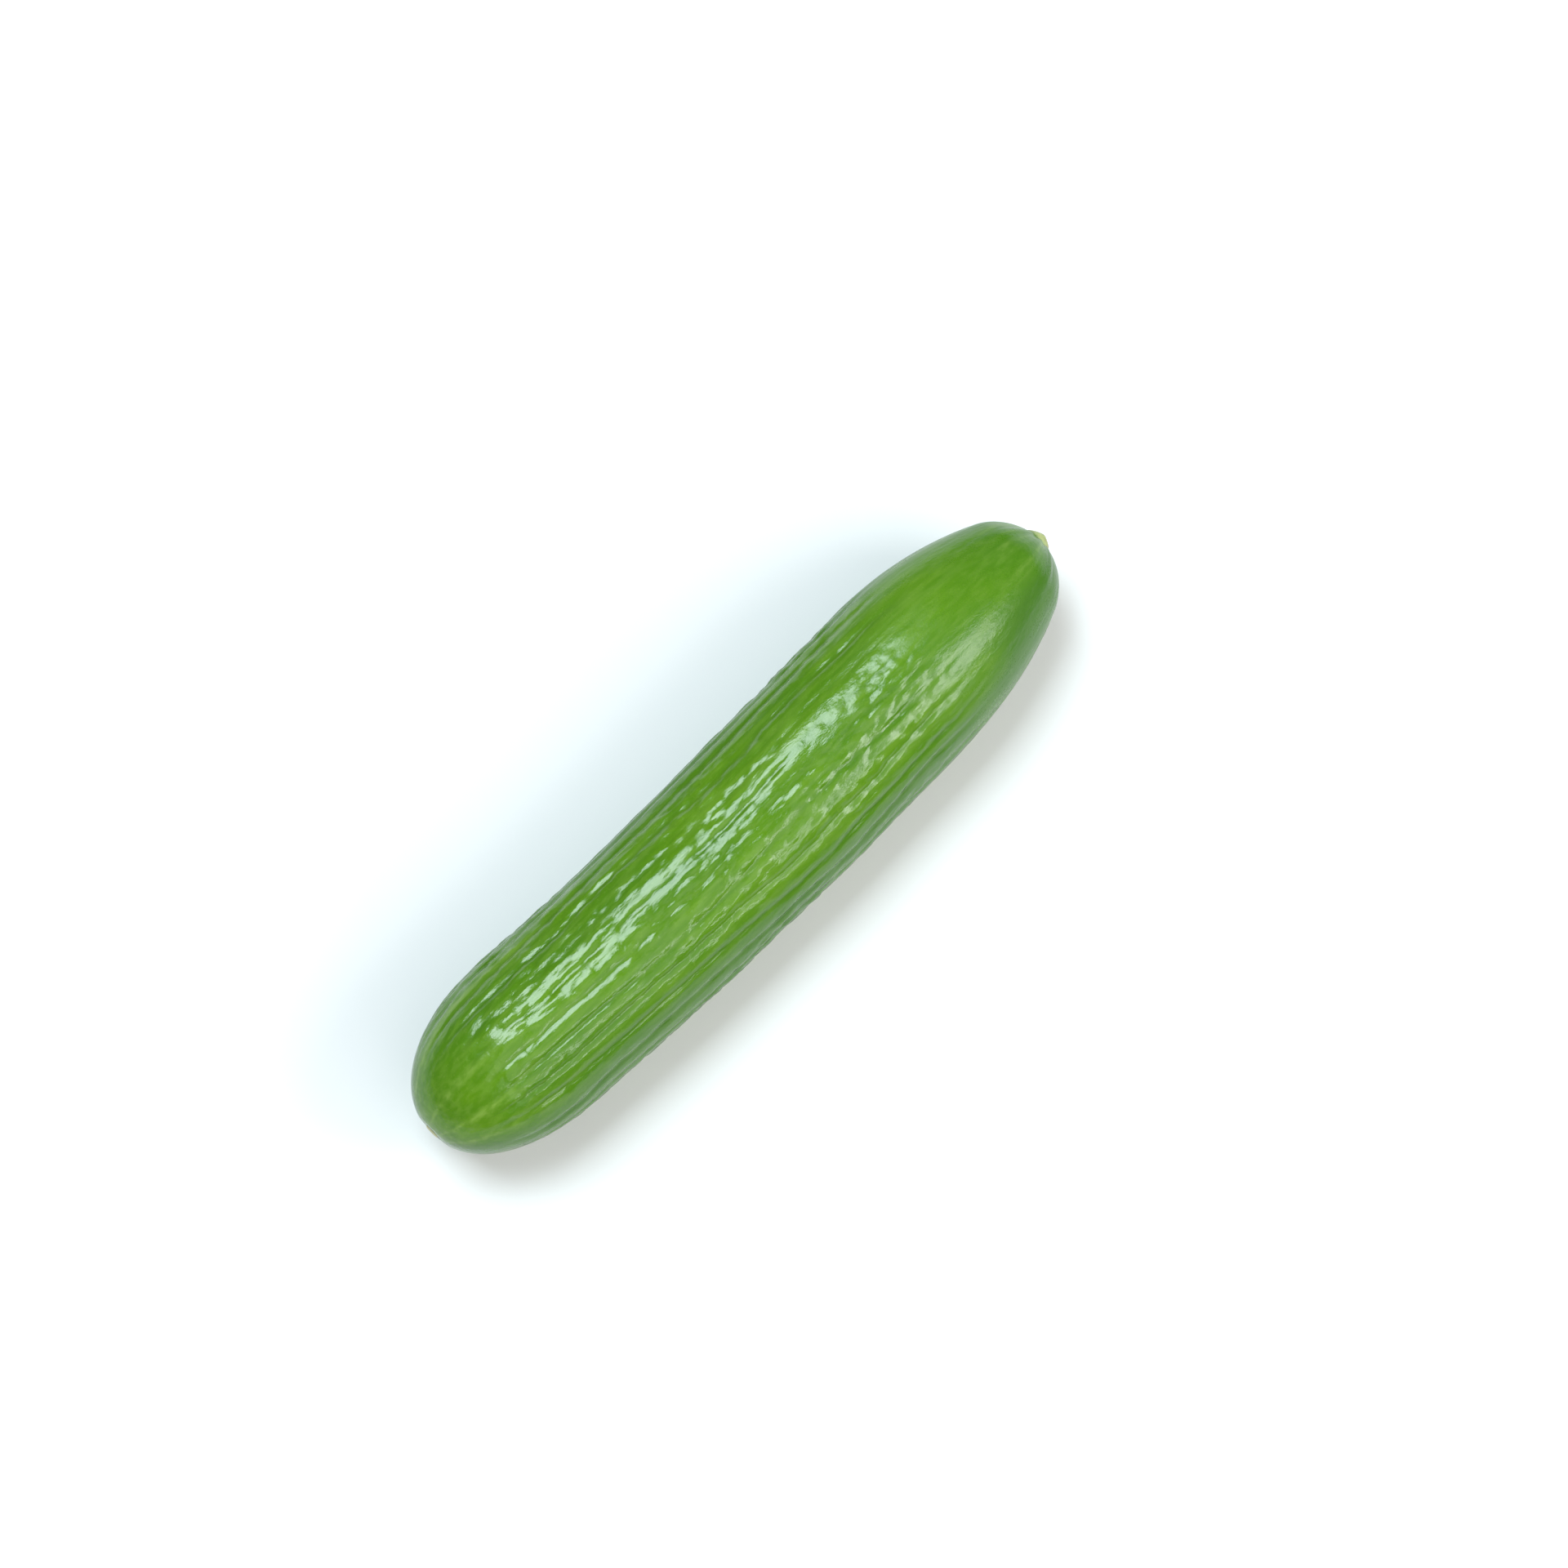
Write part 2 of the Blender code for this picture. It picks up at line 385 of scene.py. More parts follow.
class StemSettings(bpy.types.PropertyGroup):
    angles: bpy.props.IntProperty(
        name="Angles",
        description="Main ridges round the stem",
        default=5,
        min=3,
    )
    angle_depth: bpy.props.FloatProperty(
        name="Angle Depth",
        description="Height of the main ridges, as a share of the stem's radius",
        default=0.09,
        subtype="FACTOR",
    )
    foot_colour: bpy.props.FloatVectorProperty(
        name="Foot",
        description="Green of the foot, where the stem grows out of the fruit",
        default=(0.066, 0.175, 0.010),
        subtype="COLOR",
    )
    stem_colour: bpy.props.FloatVectorProperty(
        name="Stem",
        description="Pale yellow-green of the stem's side",
        default=(0.360, 0.430, 0.140),
        subtype="COLOR",
    )
    cut_colour: bpy.props.FloatVectorProperty(
        name="Cut Face",
        description="Dry cream of the cut face",
        default=(0.640, 0.580, 0.350),
        subtype="COLOR",
    )
    dry_colour: bpy.props.FloatVectorProperty(
        name="Dry Edge",
        description="Brown of the dried edge and the fibres",
        default=(0.230, 0.150, 0.060),
        subtype="COLOR",
    )


class StageSettings(bpy.types.PropertyGroup):
    camera_turn: bpy.props.FloatProperty(
        name="Camera Turn",
        description="Turn of the camera round the fruit, from looking along +Y",
        default=math.radians(-44.9),
        unit="ROTATION",
    )
    camera_height: bpy.props.FloatProperty(
        name="Camera Height",
        description="Angle of the camera above the surface",
        default=math.radians(76.0),
        unit="ROTATION",
    )
    view_width: bpy.props.FloatProperty(
        name="View Width",
        description="Width that the picture takes in at the fruit",
        default=0.3075,
        unit="LENGTH",
    )
    floor_colour: bpy.props.FloatVectorProperty(
        name="Floor",
        description="Colour of the plain floor",
        default=(0.80, 0.80, 0.79),
        subtype="COLOR",
    )
    key_power: bpy.props.FloatProperty(
        name="Key Power",
        description="Power of the wide light above and behind the fruit",
        default=16.0,
        unit="POWER",
    )
    side_power: bpy.props.FloatProperty(
        name="Side Power",
        description="Power of the smaller light towards the stem end",
        default=4.6,
        unit="POWER",
    )
    strip_power: bpy.props.FloatProperty(
        name="Strip Power",
        description="Power of the low strip light along the near side",
        default=2.5,
        unit="POWER",
    )
    fill_power: bpy.props.FloatProperty(
        name="Fill Power",
        description="Power of the broad, even light above the near side",
        default=4.6,
        unit="POWER",
    )
    surround: bpy.props.FloatProperty(
        name="Surround",
        description="Strength of the even light from all round",
        default=0.23,
    )


# ---------------------------------------------------------------- shader writing


class Number:
    """A shader value that Python expressions can be written with."""

    def __init__(self, paint, socket):
        self.paint = paint
        self.socket = socket

    def math(self, operation, first, second):
        return self.paint.number("ShaderNodeMath", {"operation": operation}, {0: first, 1: second})

    def __add__(self, other):
        return self.math("ADD", self, other)

    def __radd__(self, other):
        return self.math("ADD", other, self)

    def __rsub__(self, other):
        return self.math("SUBTRACT", other, self)

    def __mul__(self, other):
        return self.math("MULTIPLY", self, other)

    def __rmul__(self, other):
        return self.math("MULTIPLY", other, self)

    def ramp(self, low, high):
        """0 below low, 1 above high, and smooth between."""
        return self.paint.number(
            "ShaderNodeMapRange",
            {"interpolation_type": "SMOOTHSTEP"},
            {"Value": self, "From Min": low, "From Max": high},
        )


class Paint:
    """One material and the nodes that are added to it."""

    def __init__(self, name):
        self.material = bpy.data.materials.new(name)
        self.material.use_nodes = True
        self.tree = self.material.node_tree
        self.shader = self.tree.nodes["Principled BSDF"]

    def node(self, kind, settings, sockets):
        made = self.tree.nodes.new(kind)
        for name, value in settings.items():
            setattr(made, name, value)
        self.feed(made, sockets)
        return made

    def feed(self, node, sockets):
        for key, value in sockets.items():
            if isinstance(value, Number):
                value = value.socket
            if isinstance(value, bpy.types.NodeSocket):
                self.tree.links.new(value, node.inputs[key])
            else:
                node.inputs[key].default_value = value

    def number(self, kind, settings, sockets, output=0):
        return Number(self, self.node(kind, settings, sockets).outputs[output])

    def attribute(self, name):
        return self.number("ShaderNodeAttribute", {"attribute_name": name}, {}, "Fac")

    def place(self, scale=(1.0, 1.0, 1.0), offset=(0.0, 0.0, 0.0)):
        """Object coordinates, scaled and shifted."""
        coordinates = self.node("ShaderNodeTexCoord", {}, {}).outputs["Object"]
        mapping = self.node(
            "ShaderNodeMapping", {}, {"Vector": coordinates, "Scale": scale, "Location": offset}
        )
        return mapping.outputs[0]

    def noise(self, place, speckle):
        return self.number(
            "ShaderNodeTexNoise",
            {},
            {
                "Vector": place,
                "Scale": 1.0 / speckle.size,
                "Detail": speckle.detail,
                "Roughness": speckle.roughness,
            },
        )

    def mix(self, factor, first, second):
        node = self.node(
            "ShaderNodeMix",
            {"data_type": "RGBA"},
            {MIX_FACTOR: factor, MIX_A: first, MIX_B: second},
        )
        return node.outputs[MIX_RESULT]

    def layered(self, ground, layers):
        """The ground colour under layers of paint, each one a mask and a colour."""
        colour = solid(ground)
        for mask, tint in layers:
            colour = self.mix(mask, colour, solid(tint))
        return colour

    def bump(self, height, strength, distance):
        return self.node(
            "ShaderNodeBump", {}, {"Height": height, "Strength": strength, "Distance": distance}
        )


def solid(colour):
    return (colour[0], colour[1], colour[2], 1.0)


# ---------------------------------------------------------------- shape of the fruit


def ease(value, low, high):
    share = max(0.0, min(1.0, (value - low) / (high - low)))
    return share * share * (3.0 - 2.0 * share)


def hump(value, middle, width):
    """1 at the middle, falling off smoothly on both sides."""
    return math.exp(-((value - middle) / width) ** 2)


def swell_radius(along):
    rise = np.clip((along - SWELL_START) / (SWELL_END - SWELL_START), 0.0, 1.0)
    return FRUIT_RADIUS * (1.0 - SWELL * (0.5 + 0.5 * np.cos(np.pi * rise)))


def skin_radius(along):
    dome_share = np.clip(along / BLOSSOM_DOME, 0.0, 1.0)
    dome = (1.0 - (1.0 - dome_share) ** 2) ** (1.0 / BLOSSOM_DOME_BLUNTNESS)
    taper_share = np.clip((along - STEM_TAPER_START) / (1.0 - STEM_TAPER_START), 0.0, 1.0)
    taper = 1.0 - STEM_TAPER * taper_share ** STEM_TAPER_POWER
    nose_share = np.clip((1.0 - along) / STEM_NOSE, 0.0, 1.0)
    nose = (1.0 - (1.0 - nose_share) ** 2) ** (1.0 / STEM_NOSE_BLUNTNESS)
    return swell_radius(along) * dome * taper * nose


def ring_places():
    """Where each ring lies along the fruit: even along the skin, closer together at the ends."""
    along = 0.5 - 0.5 * np.cos(np.linspace(0.0, np.pi, ARC_SAMPLES))
    step = np.hypot(np.diff(along) * FRUIT_LENGTH, np.diff(skin_radius(along)))
    middle = (along[1:] + along[:-1]) / 2.0
    end_distance = np.minimum(middle, 1.0 - middle)
    crowding = 1.0 + END_CROWDING * np.exp(-end_distance / CROWDED_REACH)
    travelled = np.concatenate(([0.0], np.cumsum(step * crowding)))
    return np.interp(np.linspace(0.0, 1.0, FRUIT_RINGS + 1), travelled / travelled[-1], along)


def bow(along):
    return -BOW * math.sin(math.pi * along ** BOW_SKEW) ** BOW_POWER


def skin_point(along, radius, angle):
    """A point of the smooth skin."""
    radius *= 1.0 + LOBE_DEPTH * math.cos(LOBES * (angle - LOBE_TURN))
    x = FRUIT_LOW.x + along * FRUIT_LENGTH
    if along > STEM_TAPER_START:
        x += NECK_RISE * max(0.0, 1.0 - radius / NECK_REACH) ** NECK_POWER
    y = bow(along) + radius * math.cos(angle)
    z = float(swell_radius(along)) + radius * math.sin(angle)
    return Vector((x, y, z))


def wrapped(along, angle, pattern):
    """A place in the pattern's noise for a point of the skin. It closes round the fruit."""
    ring = FRUIT_RADIUS / pattern.spacing
    x = along * FRUIT_LENGTH / (pattern.spacing * pattern.stretch)
    y = ring * math.cos(angle)
    z = ring * math.sin(angle)
    return Vector((x + pattern.seed, y - pattern.seed, z + 2.0 * pattern.seed))


def skin_noise(along, angle, pattern):
    return noise.noise(wrapped(along, angle, pattern))


def billow(value, gain=1.0):
    """Rounded crests with narrow valleys, 0 in a valley and 1 on a crest."""
    height = min(1.0, abs(value) * gain)
    return 1.0 - (1.0 - height) ** 2


def partly(least, share):
    """The share, raised so that it is never below least."""
    return least + (1.0 - least) * share


def body_share(along):
    """Where the skin is wrinkled: full on the body, little or none at the two smooth ends."""
    return ease(along, *BLOSSOM_SMOOTH) * (1.0 - STEM_SMOOTHNESS * ease(along, *STEM_SMOOTH))


def relief(along, angle, settings):
    """Height of the skin above its smooth shape, and how high up its wrinkles it is (0 to 1)."""
    waver = skin_noise(along, angle, WAVER)
    ridges = round(2.0 * math.pi * FRUIT_RADIUS / settings.ridge_spacing)
    phase = ridges * angle / 2.0 + DRIFT_TURN * skin_noise(along, angle, DRIFT) + WAVER_TURN * waver
    ridge = billow(math.sin(phase))
    strength = ease(skin_noise(along, angle, RIDGE_STRENGTH), *RIDGE_STRENGTH_RANGE)
    flank = 1.0 - ease(math.sin(angle), *FLANK_RANGE)
    strength = max(strength, FLANK_STRENGTH * flank)

    bent = angle + WRINKLE_BEND * waver
    wrinkles = Pattern(settings.wrinkle_spacing, WRINKLE_STRETCH, WRINKLE_SEED)
    cells = noise.voronoi(wrapped(along, bent, wrinkles))[0]
    wrinkle = ease(cells[1] - cells[0], *WRINKLE_RANGE)
    patch = ease(skin_noise(along, angle, PATCH), *PATCH_RANGE)
    crinkle = billow(skin_noise(along, bent, CRINKLE), CRINKLE_GAIN)

    height = settings.ridge_depth * partly(LEAST_RIDGE, strength) * (ridge - 1.0)
    height += settings.wrinkle_depth * partly(LEAST_WRINKLE, patch) * (wrinkle - 1.0)
    height += CRINKLE_DEPTH * partly(LEAST_CRINKLE, patch) * (crinkle - 1.0)
    height += SLOW_SWELL_DEPTH * skin_noise(along, angle, SLOW_SWELL)
    # How high up its wrinkles the skin is: the low parts are given painted shade in the creases.
    shade = SHADE_OF_RIDGE * ridge + SHADE_OF_WRINKLE * wrinkle + SHADE_OF_CRINKLE * crinkle
    share = body_share(along)
    return height * share, 1.0 + (shade - 1.0) * share


def scar_raggedness(angle):
    """How much farther out than a round scar's the edge is taken to be, at this angle."""
    place = (SCAR_RAGGED_TURNS * math.cos(angle), SCAR_RAGGED_TURNS * math.sin(angle), SCAR_SEED)
    return 1.0 + SCAR_RAGGEDNESS * noise.noise(Vector(place))


def scar_height(distance, settings):
    """The scar at the blossom end: a low disc with a raised rim and a pit, in a faint moat."""
    share = distance / settings.scar_radius
    disc = SCAR_DISC * (1.0 - ease(share, *SCAR_DISC_EDGE))
    rim = SCAR_RIM * hump(share, SCAR_RIM_PLACE, SCAR_RIM_WIDTH)
    pit = SCAR_PIT * hump(share, 0.0, SCAR_PIT_WIDTH)
    moat = SCAR_MOAT * hump(share, SCAR_MOAT_PLACE, SCAR_MOAT_WIDTH)
    sink = SCAR_SINK * (1.0 - ease(share, *SCAR_SINK_EDGE))
    return disc + rim - pit - moat - sink


def streak_mask(along, angle, settings):
    """Pale streaks that fan out from the blossom scar."""
    reach = along * FRUIT_LENGTH / settings.streak_length
    if reach > STREAK_LIMIT:
        return 0.0
    bent = angle + STREAK_BEND_TURN * skin_noise(along, angle, STREAK_BEND)
    turns = bent / (2.0 * math.pi) * STREAKS
    number = math.floor(turns)
    shift = STREAK_SHIFT * noise.cell(Vector((number % STREAKS, *STREAK_SHIFT_SEED)))
    middle = number + 0.5 + shift
    least, spread = STREAK_REACH
    own_reach = least + spread * noise.cell(Vector((number % STREAKS, *STREAK_REACH_SEED)))
    width = STREAK_WIDTH[0] + STREAK_WIDTH[1] * reach
    start, end = STREAK_FADE
    return hump(turns, middle, width) * (1.0 - ease(reach, start * own_reach, end * own_reach))


def ray_mask(along, angle):
    """Fine pale lines that gather round the stem."""
    place = (along * RAY_LENGTHWAYS, RAY_TURNS * math.cos(angle), RAY_TURNS * math.sin(angle))
    return RAY_STRENGTH * ease(noise.noise(Vector(place)), *RAY_RANGE) * ease(along, *RAY_FADE)


def painted_shade_share(along, angle):
    """Painted shade as a deeper green: low on the flanks, and a painted shadow by the stem."""
    low = 1.0 - ease(math.sin(angle), *PAINTED_SHADE_FLANK_RANGE)
    stem_side_painted_shadow = ease(along, *PAINTED_SHADOW_STEM_RANGE) * ease(-math.cos(angle), *PAINTED_SHADOW_STEM_SIDE)
    return min(1.0, PAINTED_SHADE_FLANK_STRENGTH * low + stem_side_painted_shadow)


def fold_height(radius, angle, along):
    """Small folds that gather the skin towards the stem."""
    fold = math.cos(FOLDS * angle + FOLD_BEND_TURN * skin_noise(along, angle, FOLD_BEND))
    return FOLD_DEPTH * ease(along, *FOLD_FADE) * fold * ease(radius, *FOLD_RADII)


def press_on_floor(z):
    """Skin that would reach below the surface lies on it instead."""
    return 0.5 * (z + math.sqrt(z * z + FLOOR_PRESS * FLOOR_PRESS))


def settle_fruit(bm):
    """Moves the smooth skin so that its top and its middle are where the solid's are."""
    centre_y = (FRUIT_LOW.y + FRUIT_HIGH.y) / 2.0
    middle_y = (min(v.co.y for v in bm.verts) + max(v.co.y for v in bm.verts)) / 2.0
    top = max(v.co.z for v in bm.verts)
    bmesh.ops.translate(
        bm, verts=bm.verts[:], vec=(0.0, centre_y - middle_y, FRUIT_HIGH.z - top)
    )


def model_fruit(settings):
    places = ring_places()
    radii = skin_radius(places)
    bm = bmesh.new()
    bmesh.ops.create_uvsphere(bm, u_segments=FRUIT_AROUND, v_segments=FRUIT_RINGS, radius=1.0)
    relief_layer = bm.verts.layers.float.new("relief")
    streak_layer = bm.verts.layers.float.new("streak")
    scar_layer = bm.verts.layers.float.new("scar")
    along_layer = bm.verts.layers.float.new("along")
    painted_shade_layer = bm.verts.layers.float.new("shade")
    polar = []
    for vertex in bm.verts:
        height = max(-1.0, min(1.0, vertex.co.z))
        ring = round(math.acos(-height) / math.pi * FRUIT_RINGS)
        angle = math.atan2(vertex.co.y, vertex.co.x)
        polar.append((float(places[ring]), float(radii[ring]), angle))
        vertex.co = skin_point(*polar[-1])
    settle_fruit(bm)
    bm.normal_update()
    moves = []
    for vertex, (along, radius, angle) in zip(bm.verts, polar):
        height, crest = relief(along, angle, settings)
        if along < BLOSSOM_DOME:
            ragged = scar_raggedness(angle)
            height += scar_height((radius + along * FRUIT_LENGTH) * ragged, settings)
            scar_share = radius * ragged / (SCAR_REACH * settings.scar_radius)
            vertex[scar_layer] = max(0.0, 1.0 - scar_share)
        height += fold_height(radius, angle, along)
        # how high up the wrinkles, which sets the painted shade in the creases
        vertex[relief_layer] = crest
        vertex[streak_layer] = streak_mask(along, angle, settings) + ray_mask(along, angle)
        vertex[along_layer] = along
        # painted shade low on the flanks and painted shadow by the stem
        vertex[painted_shade_layer] = painted_shade_share(along, angle)
        moves.append(vertex.normal * height)
    for vertex, move in zip(bm.verts, moves):
        vertex.co += move
        vertex.co.z = press_on_floor(vertex.co.z)
    return as_object(bm, "cucumber_fruit")


def as_object(bm, name):
    bmesh.ops.recalc_face_normals(bm, faces=bm.faces[:])
    mesh = bpy.data.meshes.new(name)
    bm.to_mesh(mesh)
    bm.free()
    mesh.shade_smooth()
    made = bpy.data.objects.new(name, mesh)
    bpy.context.scene.collection.objects.link(made)
    return made


def skin_material(settings):
    paint = Paint("cucumber_skin")
    body = paint.place()
    lengthwise = paint.place(LENGTHWISE)
    half_lengthwise = paint.place(HALF_LENGTHWISE, HALF_LENGTHWISE_START)

    mottle = paint.noise(half_lengthwise, MOTTLE).ramp(*MOTTLE_RANGE)
    bands = paint.noise(lengthwise, BANDS).ramp(*BAND_RANGE)
    fibres = paint.noise(lengthwise, FIBRES).ramp(*FIBRE_RANGE)
    flecks = paint.noise(body, FLECKS).ramp(*FLECK_RANGE)
    crust = paint.noise(body, CRUST).ramp(*CRUST_RANGE)
    grain = paint.noise(body, GRAIN)
    wax = paint.noise(half_lengthwise, WAX)
    pores = paint.noise(half_lengthwise, PORES)

    # Painted shade in the creases: a darker green where the skin is low in its wrinkles.
    painted_crease_shade = 1.0 - paint.attribute("relief").ramp(*PAINTED_CREASE_SHADE_RANGE)
    streaks = paint.attribute("streak") * partly(LEAST_STREAK, fibres)
    along = paint.attribute("along")
    scar_place = paint.attribute("scar")
    scar = scar_place.ramp(*SCAR_RANGE)
    colour = paint.layered(
        settings.skin_colour,
        (
            (MOTTLE_COVER * mottle, settings.deep_colour),
            (BAND_COVER * bands, settings.deep_colour),
            (FIBRE_COVER * fibres, settings.streak_colour),
            (FLECK_COVER * flecks, settings.streak_colour),
            # painted shade in the creases
            (PAINTED_CREASE_SHADE_COVER * painted_crease_shade, settings.painted_shade_colour),
            (STREAK_COVER * streaks, settings.streak_colour),
            (STEM_END_COVER * along.ramp(*STEM_END_RANGE), settings.deep_colour),
            # painted shade low on the flanks and painted shadow by the stem
            (PAINTED_SHADE_COVER * paint.attribute("shade"), settings.painted_shade_colour),
            (MOAT_COVER * scar_place.ramp(*MOAT_RANGE), settings.dry_colour),
            (scar, settings.scar_colour),
            (CRUST_COVER * scar * crust, settings.dry_colour),
            (PIT_COVER * scar_place.ramp(*PIT_RANGE), settings.dry_colour),
        ),
    )
    roughness = LEAST_ROUGHNESS + WAX_ROUGHNESS * wax + GRAIN_ROUGHNESS * grain
    roughness += SCAR_ROUGHNESS * scar + SMOOTH_END_ROUGHNESS * along.ramp(*SMOOTH_END_RANGE)
    pitted = paint.bump(pores, *PORE_BUMP)
    grained = paint.bump(grain, *GRAIN_BUMP)
    paint.feed(grained, {"Normal": pitted.outputs[0]})
    paint.feed(
        paint.shader,
        {
            "Base Color": colour,
            "Roughness": roughness,
            "Normal": grained.outputs[0],
            "IOR": SKIN_IOR,
            "Subsurface Weight": SKIN_DEPTH_WEIGHT,
            "Subsurface Radius": SKIN_DEPTH_COLOURS,
            "Subsurface Scale": SKIN_DEPTH,
        },
    )
    return paint.material


# ---------------------------------------------------------------- shape of the stem


def stem_radius(share, turn, settings):
    flare = (1.0 - share) ** STEM_FLARE_POWER
    radius = STEM_NECK_RADIUS + (STEM_FOOT_RADIUS - STEM_NECK_RADIUS) * flare
    ridge = math.cos(settings.angles * turn + ANGLE_TURN)
    sharp = 1.0 - 2.0 * math.sqrt(0.5 - 0.5 * ridge)
    y, z = math.cos(turn), math.sin(turn)
    rib = noise.noise(Vector((RIB_TURNS * y, RIB_TURNS * z, share * RIB_LENGTHWAYS)))
    lump = noise.noise(Vector((y, z, share * LUMP_LENGTHWAYS + LUMP_SEED)))
    crests = settings.angle_depth * (ANGLE_BASE + ANGLE_CREST * sharp)
    return radius * (1.0 + crests + RIB_DEPTH * rib + LUMP_DEPTH * lump)


def stem_point(share, fill, turn, settings):
    """share runs up the side, and fill inwards from the edge (1) to the axis (0)."""
    radius = stem_radius(share, turn, settings) * fill
    side = Vector((0.0, radius * math.cos(turn), radius * math.sin(turn)))
    foot_x = STUB_LOW.x - STEM_SINK
    middle = (STUB_LOW + STUB_HIGH) / 2.0
    x = foot_x + share * (STUB_HIGH.x - foot_x)
    x += ease(share, CUT_SLANT_START, 1.0) * (CUT_SLANT.dot(side) - CUT_SHORTENING)
    if share == 1.0:
        x += stem_face_height(fill, turn)
    lean = STEM_LEAN * ease(share, STEM_LEAN_START, 1.0)
    return Vector((x, middle.y, middle.z)) + side + lean


def stem_face_height(fill, turn):
    """The cut face: slightly dished, rough, with a ring of vessel ends and a hollow middle."""
    dish = FACE_DISH * (1.0 - fill ** FACE_DISH_POWER)
    place = FACE_ROUGH_TURNS * fill
    rough = noise.noise(Vector((place * math.cos(turn), place * math.sin(turn), FACE_SEED)))
    rough *= FACE_ROUGHNESS * ease(fill, 0.0, FACE_ROUGH_START)
    vessels = 0.5 + 0.5 * math.cos(VESSELS * turn)
    ring = VESSEL_HEIGHT * vessels * hump(fill, VESSEL_PLACE, VESSEL_WIDTH)
    hollow = FACE_HOLLOW * hump(fill, 0.0, FACE_HOLLOW_WIDTH)
    return rough + ring - dish - hollow


def is_upright(edge):
    """Whether the edge runs from the cylinder's bottom, below z = 0, to its top."""
    return edge.verts[0].co.z * edge.verts[1].co.z < 0.0


def is_top_spoke(edge):
    """Whether the edge runs from the middle of the cylinder's top to its side."""
    to_middle = min(vertex.co.xy.length for vertex in edge.verts) < MIDDLE_REACH
    return to_middle and edge.verts[0].co.z > 0.0


def model_stem(settings):
    bm = bmesh.new()
    bmesh.ops.create_cone(
        bm,
        cap_ends=True,
        cap_tris=True,
        segments=STEM_AROUND,
        radius1=1.0,
        radius2=1.0,
        depth=1.0,
    )
    uprights = [edge for edge in bm.edges if is_upright(edge)]
    bmesh.ops.subdivide_edges(bm, edges=uprights, cuts=STEM_RINGS - 1)
    spokes = [edge for edge in bm.edges if is_top_spoke(edge)]
    bmesh.ops.subdivide_edges(bm, edges=spokes, cuts=STEM_FACE_RINGS - 1)
    cut_layer = bm.verts.layers.float.new("cut")
    up_layer = bm.verts.layers.float.new("up")
    for vertex in bm.verts:
        share = vertex.co.z + 0.5
        if share > TOP_SHARE:
            share = 1.0
        fill = min(1.0, vertex.co.xy.length)
        turn = math.atan2(vertex.co.y, vertex.co.x)
        vertex[cut_layer] = 1.0 - fill ** FACE_EDGE_POWER if share == 1.0 else 0.0
        vertex[up_layer] = share
        vertex.co = stem_point(share, fill, turn, settings)
    return as_object(bm, "cucumber_stem")


def stem_material(settings):
    paint = Paint("cut_stem")
    body = paint.place()
    lengthwise = paint.place(STEM_LENGTHWISE)
    fibres = paint.noise(lengthwise, STEM_FIBRES)
    blotches = paint.noise(body, BLOTCHES)
    cut = paint.attribute("cut")
    up = paint.attribute("up")
    pale_fibres = fibres.ramp(*STEM_FIBRE_RANGE) * up
    dry_edge = up.ramp(*DRY_EDGE_RANGE) * blotches.ramp(*DRY_EDGE_BLOTCHES)

    side = paint.layered(
        settings.foot_colour,
        (
            (up.ramp(*STEM_COLOUR_RANGE), settings.stem_colour),
            (STEM_FIBRE_COVER * pale_fibres, settings.cut_colour),
            (DRY_EDGE_COVER * dry_edge, settings.dry_colour),
        ),
    )
    face = paint.layered(
        settings.cut_colour,
        ((FACE_BLOTCH_COVER * blotches.ramp(*FACE_BLOTCHES), settings.dry_colour),),
    )
    paint.feed(
        paint.shader,
        {
            "Base Color": paint.mix(cut.ramp(*FACE_RANGE), side, face),
            "Roughness": STEM_ROUGHNESS + FACE_EXTRA_ROUGHNESS * cut,
            "Normal": paint.bump(fibres, *STEM_FIBRE_BUMP).outputs[0],
            "Subsurface Weight": STEM_DEPTH_WEIGHT,
            "Subsurface Scale": STEM_DEPTH,
        },
    )
    return paint.material


# ---------------------------------------------------------------- stage


def model_floor(settings):
    bm = bmesh.new()
    bmesh.ops.create_grid(bm, x_segments=1, y_segments=1, size=FLOOR_SIDE / 2.0)
    floor = as_object(bm, "floor")
    paint = Paint("floor")
    paint.feed(
        paint.shader,
        {"Base Color": solid(settings.floor_colour), "Roughness": FLOOR_ROUGHNESS},
    )
    floor.data.materials.append(paint.material)
    return floor


def aim(thing, place, target):
    thing.location = place
    thing.rotation_euler = (target - place).to_track_quat("-Z", "Y").to_euler()


def add_soft_light(name, centre, place, sides, power, colour):
    """A rectangular light that faces centre, at place from it."""
    lamp = bpy.data.lights.new(name, "AREA")
    lamp.shape = "RECTANGLE"
    lamp.size, lamp.size_y = sides
    lamp.energy = power
    lamp.color = colour
    thing = bpy.data.objects.new(name, lamp)
    bpy.context.scene.collection.objects.link(thing)
    aim(thing, centre + place, centre)


def add_lights(settings, centre):
    for name, place, sides, power, colour in (
        ("key_light", KEY_PLACE, KEY_SIDES, settings.key_power, COOL_LIGHT),
        ("side_light", SIDE_PLACE, SIDE_SIDES, settings.side_power, WHITE_LIGHT),
        ("strip_light", STRIP_PLACE, STRIP_SIDES, settings.strip_power, WHITE_LIGHT),
        ("fill_light", FILL_PLACE, FILL_SIDES, settings.fill_power, WHITE_LIGHT),
    ):
        add_soft_light(name, centre, place, sides, power, colour)


def add_surround(settings):
    world = bpy.data.worlds.new("surround")
    world.use_nodes = True
    background = world.node_tree.nodes["Background"]
    background.inputs["Color"].default_value = solid(WHITE_LIGHT)
    background.inputs["Strength"].default_value = settings.surround
    bpy.context.scene.world = world


